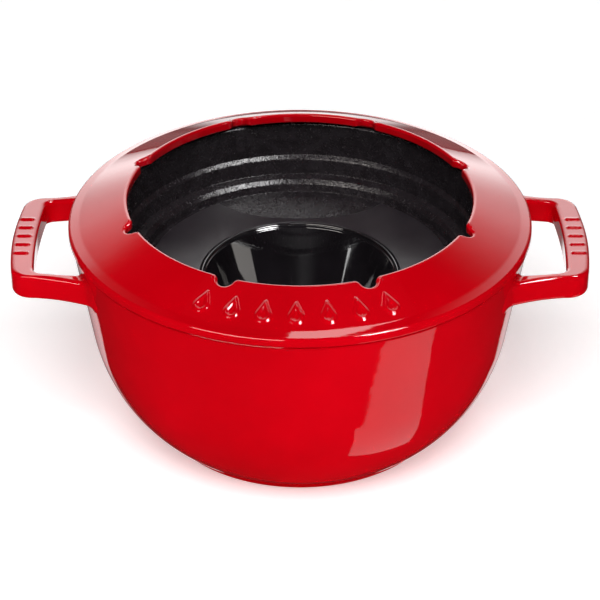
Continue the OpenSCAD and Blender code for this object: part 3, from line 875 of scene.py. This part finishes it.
def gauze():
    """Plain woven wires, each passing over and under the ones that cross it."""
    disc_r = high("wire_gauze")[0] - 0.3
    z = (high("wire_gauze")[2] + low("wire_gauze")[2]) / 2
    pitch, wire, sway = 2.2, 0.14, 0.15
    count = int(disc_r / pitch)
    verts, faces = [], []
    for turned in (0, 1):
        for i in range(-count, count + 1):
            at = i * pitch
            half = math.sqrt(disc_r ** 2 - at ** 2)
            along = np.arange(-half, half, pitch / 4)
            if len(along) < 4:
                continue
            phase = 0 if (i + turned) % 2 else math.pi
            wave = np.cos(math.pi * along / pitch + phase)
            height = z + sway * wave * (1 if turned else -1)
            path = np.column_stack([along, np.full(len(along), at), height])
            if turned:
                path = path[:, [1, 0, 2]]
            v, f = tube(path, wire, 5)
            faces += [tuple(k + len(verts) for k in face) for face in f]
            verts += list(v)
    turns = np.linspace(0, 2 * math.pi, 120, endpoint=False)
    rim, f = tube([(*polar(disc_r, a), z) for a in turns], 2 * wire, 8, True)
    faces += [tuple(k + len(verts) for k in face) for face in f]
    verts += list(rim)
    dress(finish_mesh("woven_gauze", verts, faces, weld=False), "tin", "gauze_wire", "wire_gauze")


def spring_ring():
    lo, hi = span("gauze_spring_ring")
    wire = (hi[2] - lo[2]) / 2
    r = hi[0] - wire
    start, sweep = math.radians(-82), math.radians(344)
    path = [(*polar(r, start + sweep * t), (lo[2] + hi[2]) / 2) for t in np.linspace(0, 1, 120)]
    verts, faces = tube(path, wire, 12)
    dress(finish_mesh("gauze_spring", verts, faces), "tin", "gauze_wire", "gauze_spring_ring")


def air_hole_loops():
    spots = [2 * math.pi * i / AIR_HOLES for i in range(AIR_HOLES)]
    return [circle(AIR_R, 40, polar(AIR_RING_R, a), -1) for a in spots]


def head():
    """The burner's top: a skirt over the tin, a flat shoulder with air holes, and a neck."""
    lo, hi = span("burner_top")
    tin_r = high("fuel_tin")[0]
    skirt_r, lap_r = tin_r + 0.1, tin_r - 1.2
    cap_z = high("fuel_tin")[2] + LID_GAP
    cap_top = cap_z + SHEET_T
    loops = [circle(hi[0] - 0.35, 160), circle(FLAME_R + 0.5, 96, way=-1)] + air_hole_loops()
    flat = flat_with_holes("shoulder", loops, cap_z + SHEET_T / 2, SHEET_T, 0.15)
    skirt = lathe("skirt", soften([(skirt_r, lo[2], 0.3), (hi[0], lo[2], 0.3),
                                   (hi[0], cap_top, 0.6), (lap_r, cap_top, 0.1),
                                   (lap_r, cap_z, 0.1), (skirt_r, cap_z, 0.2)]), 160)
    neck = lathe("neck", soften([(FLAME_R, cap_z, 0.3), (FLAME_R, hi[2], 0.6),
                                 (NECK_R, hi[2], 0.6), (NECK_R, cap_z, 0.2)]), 128)
    dress(join("burner_top_pressing", [skirt, flat, neck]), "burner_head", "sheet_steel",
          "burner_top")
    lo, hi = span("retaining_ring")
    outline = soften([(NECK_R, lo[2], 0.2), (hi[0], lo[2], 0.35), (hi[0], hi[2], 0.35),
                      (NECK_R, hi[2], 0.2)])
    dress(lathe("neck_retaining_ring", outline, 128), "burner_head", "sheet_steel",
          "retaining_ring")


def regulator():
    lo, hi = span("regulator_ring")
    loops = [circle(hi[0], 160), circle(NECK_R + TURN_GAP, 96, way=-1)] + air_hole_loops()
    disc = flat_with_holes("regulator_disc", loops, (lo[2] + hi[2]) / 2, hi[2] - lo[2], 0.2)
    dress(disc, "regulator", "sheet_steel", "regulator_ring")


def lever():
    """A strip bent up from the regulator, riveted to it between two air holes."""
    lo, hi = span("regulator_lever")
    angle = math.radians(-90 + 180 / AIR_HOLES)
    mid_r, width, thick = 31.5, 5.0, 1.0
    path = [(mid_r - 5.5, lo[2] + 0.5), (mid_r - 1.6, lo[2] + 0.5), (mid_r - 0.5, lo[2] + 1.1),
            (mid_r, lo[2] + 2.4), (mid_r, hi[2] + 1.2)]
    verts = []
    for i, (r, z) in enumerate(path):
        ahead = np.array(path[min(i + 1, len(path) - 1)]) - np.array(path[max(i - 1, 0)])
        nr, nz = np.array([-ahead[1], ahead[0]]) / np.linalg.norm(ahead) * thick / 2
        for w, s in ((-1, -1), (1, -1), (1, 1), (-1, 1)):
            pr, pz, pt = r + s * nr, z + s * nz, w * width / 2
            verts.append((pr * math.cos(angle) - pt * math.sin(angle),
                          pr * math.sin(angle) + pt * math.cos(angle), pz))
    faces = grid_faces(len(path), 4, close_rows=False)
    faces += [(3, 2, 1, 0), tuple(range(4 * len(path) - 4, 4 * len(path)))]
    strip = finish_mesh("regulator_lever_strip", verts, faces)
    strip.modifiers.clear()
    bevel = strip.modifiers.new("edges", "BEVEL")
    bevel.width, bevel.segments, bevel.limit_method = 0.25 * MM, 3, "ANGLE"
    dress(strip, "regulator", "sheet_steel", "regulator_lever")


def lever_knob():
    lo, hi = span("lever_knob")
    r = (hi[2] - lo[2]) / 2
    ball = solid([(r * 0.62, lo[2], 0.6), (r, lo[2] + r * 0.9, r * 0.8),
                  (r * 0.8, hi[2], r * 0.7), (0.01, hi[2])], 8)
    dress(lathe("lever_knob_ball", ball, 64, shape=over("lever_knob")), "regulator", "bakelite",
          "lever_knob")


def rivet():
    """The lever's rivet: a shank flush below the ring and a domed head."""
    lo, hi = span("lever_rivet")
    shank_r, head_r, head_t = 1.2, (hi[0] - lo[0]) / 2, 0.8
    outline = solid([(shank_r, lo[2], 0.1), (shank_r, hi[2] - head_t, 0.1),
                     (head_r, hi[2] - head_t, 0.15), (head_r * 0.8, hi[2], 0.9),
                     (0.01, hi[2])], 6)
    dress(lathe("lever_rivet_turned", outline, 48, shape=over("lever_rivet")), "regulator",
          "sheet_steel", "lever_rivet")


def snuffer_lid():
    """A pressed lid with a hollow post for its knob."""
    lo, hi = span("snuffer_lid")
    lid_r, skirt_r = hi[0], FLAME_R - LID_GAP
    lid_z, post_top = lo[2] + 2.4, hi[2]
    lid_top = lid_z + 1.2
    outline = soften([
        (SCREW_R, lid_z), (skirt_r - SHEET_T, lid_z, 0.4), (skirt_r - SHEET_T, lo[2], 0.3),
        (skirt_r, lo[2], 0.3), (skirt_r, lid_z, 0.3), (lid_r, lid_z, 0.5),
        (lid_r, lid_top, 0.5), (POST_R + 4, lid_top, 2), (POST_R, lid_top + 0.7, 1.2),
        (POST_R, post_top, 0.3), (SCREW_R, post_top)])
    dress(lathe("snuffer_lid_pressing", outline, 128), "snuffer", "sheet_steel", "snuffer_lid")


def snuffer_knob():
    lo, hi = span("snuffer_knob")
    top, bottom, wide = hi[2], lo[2], hi[0]
    outline = solid([
        (SCREW_R, top - 2), (SCREW_R, bottom, 0.1), (POST_R, bottom, 0.5),
        (POST_R + 0.2, bottom + 3.2, 2.5), (wide, bottom + 6.2, 1.6), (wide * 0.82, top, 2.4),
        (0.01, top)], 6)
    dress(lathe("snuffer_knob_moulding", outline, 96), "snuffer", "bakelite", "snuffer_knob")


def knob_screw():
    lo, hi = span("knob_screw")
    head_t, head_r, slot_w, slot_d = 1.4, hi[0], 0.8, 0.6
    outline = solid([(head_r, lo[2], 0.7), (head_r, lo[2] + head_t, 0.2),
                     (SCREW_R, lo[2] + head_t, 0.1), (SCREW_R, hi[2], 0.3), (0.01, hi[2])])

    def slotted(verts):
        x, _, z = verts.T
        in_slot = (np.abs(x) < slot_w / 2) & (z < lo[2] + 0.4)
        verts[:, 2] = z + np.where(in_slot, slot_d, 0)
        return verts

    dress(lathe("knob_screw_turned", outline, 96, shape=slotted), "snuffer", "screw_steel",
          "knob_screw")


# -------- camera, floor and light
CAMERA_TILT = math.radians(31.8)
CAMERA_BACK, CAMERA_DROP = 1.352, 0.0431
LENS, SENSOR = 144, 36
CARD_REACH = 6.0  # distance of the cards, in metres
WORLD_STRENGTH = 0.012


def camera():
    """Looks along +Y and down, at a point just under the centre of the pot's rim."""
    up = Vector((0, math.sin(CAMERA_TILT), math.cos(CAMERA_TILT)))
    back = Vector((0, -math.cos(CAMERA_TILT), math.sin(CAMERA_TILT)))
    data = bpy.data.cameras.new("camera")
    data.lens, data.sensor_width = LENS, SENSOR
    piece = bpy.data.objects.new("camera", data)
    piece.location = Vector((0, 0, RIM_Z * MM)) - up * CAMERA_DROP + back * CAMERA_BACK
    piece.rotation_euler = (math.pi / 2 - CAMERA_TILT, 0, 0)
    SCENE.collection.objects.link(piece)
    SCENE.camera = piece


def floor():
    bpy.ops.mesh.primitive_plane_add(size=12, location=(0, 0, -0.0004))
    piece = bpy.context.object
    piece.name = "floor"
    piece.data.materials.append(pale_floor())
    piece.visible_glossy = False


def area_light(name, place, target, size, power):
    """A soft rectangular lamp that doesn't show in reflections."""
    data = bpy.data.lights.new(name, "AREA")
    data.shape = "RECTANGLE"
    data.size, data.size_y = size
    data.energy = power
    piece = bpy.data.objects.new(name, data)
    piece.location = place
    piece.rotation_euler = (Vector(target) - Vector(place)).to_track_quat("-Z", "Y").to_euler()
    piece.visible_glossy = False
    SCENE.collection.objects.link(piece)


def glow_material(name):
    """A bare emission material, given with its node tree and its emission node."""
    material = bpy.data.materials.new(name)
    material.use_nodes = True
    tree = material.node_tree
    tree.nodes.clear()
    emission = tree.nodes.new("ShaderNodeEmission")
    out = tree.nodes.new("ShaderNodeOutputMaterial")
    tree.links.new(emission.outputs[0], out.inputs["Surface"])
    material.cycles.emission_sampling = "NONE"
    return material, tree, emission


def reflected(name, mesh, material):
    """A studio piece that only shows in reflections."""
    mesh.materials.append(material)
    piece = link(name, mesh)
    piece.visible_camera = piece.visible_diffuse = piece.visible_shadow = False
    piece.visible_transmission = piece.visible_volume_scatter = False


def card(name, corners, strength, colour=(1, 1, 1)):
    """A flat studio card of one brightness."""
    mesh = bpy.data.meshes.new(name)
    mesh.from_pydata(corners, [], [tuple(range(len(corners)))])
    material, _, emission = glow_material(name)
    emission.inputs["Color"].default_value = (*colour, 1)
    emission.inputs["Strength"].default_value = strength
    reflected(name, mesh, material)


def sky_card(name, azimuths, elevations, strength, colour=(1, 1, 1)):
    """A card between two azimuths and two elevations, in degrees."""
    (a0, a1), (e0, e1) = azimuths, elevations
    card(name, [aim(a0, e0), aim(a1, e0), aim(a1, e1), aim(a0, e1)], strength, colour)


def world():
    scene_world = bpy.data.worlds.new("studio")
    scene_world.use_nodes = True
    back = scene_world.node_tree.nodes["Background"]
    back.inputs["Color"].default_value = (1, 1, 1, 1)
    back.inputs["Strength"].default_value = WORLD_STRENGTH
    SCENE.world = scene_world


def towards(x, y, z):
    """A far point in the direction (x, y, z) from the centre of the pot's rim."""
    return (x * CARD_REACH, y * CARD_REACH, RIM_Z * MM + z * CARD_REACH)


def aim(azimuth, elevation):
    """A far point by its direction, in degrees: azimuth 0 is the front and 90 the right side."""
    a, e = math.radians(azimuth), math.radians(elevation)
    return towards(math.cos(e) * math.sin(a), -math.cos(e) * math.cos(a), math.sin(e))


def glow_grid(name, columns, rows, place, value):
    """A bent card: place gives a point for each column and row, and value its brightness."""
    mesh = bpy.data.meshes.new(name)
    spots = [(c, r) for r in rows for c in columns]
    mesh.from_pydata([place(c, r) for c, r in spots], [],
                     grid_faces(len(rows), len(columns), False, False))
    glow = mesh.color_attributes.new("glow", "FLOAT_COLOR", "POINT")
    for item, (c, r) in zip(glow.data, spots):
        item.color = (*[float(value(c, r))] * 3, 1)
    material, tree, emission = glow_material(name)
    attribute = tree.nodes.new("ShaderNodeAttribute")
    attribute.attribute_name = "glow"
    tree.links.new(attribute.outputs["Color"], emission.inputs["Color"])
    reflected(name, mesh, material)


def wall_glow(off, e):
    """Brightness of the wall behind the pot, off degrees to its side and e degrees up."""
    low_side = ramp(abs(off), 16, 34) * (1 - ramp(e, 2, 22))
    high_left = ramp(off, -10, 20) * ramp(e, 32, 42)
    return (3.6 * (1 - ramp(abs(off), 6, 54)) * (1 - ramp(e, 30, 58)) * ramp(e, -9, 1)
            * (1 - 0.85 * low_side) * (1 - 0.8 * high_left))


def table_glow(x, z):
    """Brightness of the wall's image in the glossy table."""
    sides = (0.22 + 0.75 * ramp(abs(x + 0.07), 0.15, 0.6)) * (1 - ramp(z, -0.6, -0.45))
    middle = 1.1 * (1 - ramp(abs(x), 0.06, 0.16)) * (1 - ramp(z, -0.33, -0.25))
    return sides + middle + 0.2 * ramp(z, -0.3, -0.22)


def back_wall():
    glow_grid("back_wall", np.linspace(-56, 56, 57), np.linspace(-6, 62, 35),
              lambda off, e: aim(180 + off, e), wall_glow)
    glow_grid("back_wall_in_table", np.linspace(-0.73, 0.59, 45), np.linspace(-0.94, -0.12, 25),
              lambda x, z: towards(x, 1, z), table_glow)


def light():
    world()
    area_light("main", place=(-0.04, -1.28, 1.84), target=(0, 0, 0.08), size=(1.5, 1.2), power=50)
    back_wall()
    outline = [(0.76, -0.58), (0.44, -0.6), (0.24, -0.11),
               (0.48, 0.23), (0.89, -0.15), (1.06, -0.18)]
    card("key_box_in_table", [towards(x, y, -1) for x, y in outline], 0.85)
    sky_card("key_box", (35, 58), (38, 58), 32)
    sky_card("front_box", (-54, -8), (27, 39), 10, (1, 0.95, 0.9))
    sky_card("high_back_box", (140, 184), (63, 75), 5)


camera()
floor()
light()
pot()
handle("left_loop_handle", -1)
handle("right_loop_handle", 1)
fork_ring()
insert()
plate()
cup()
burner()

SCENE.view_settings.view_transform = "Standard"
SCENE.view_settings.look = "None"
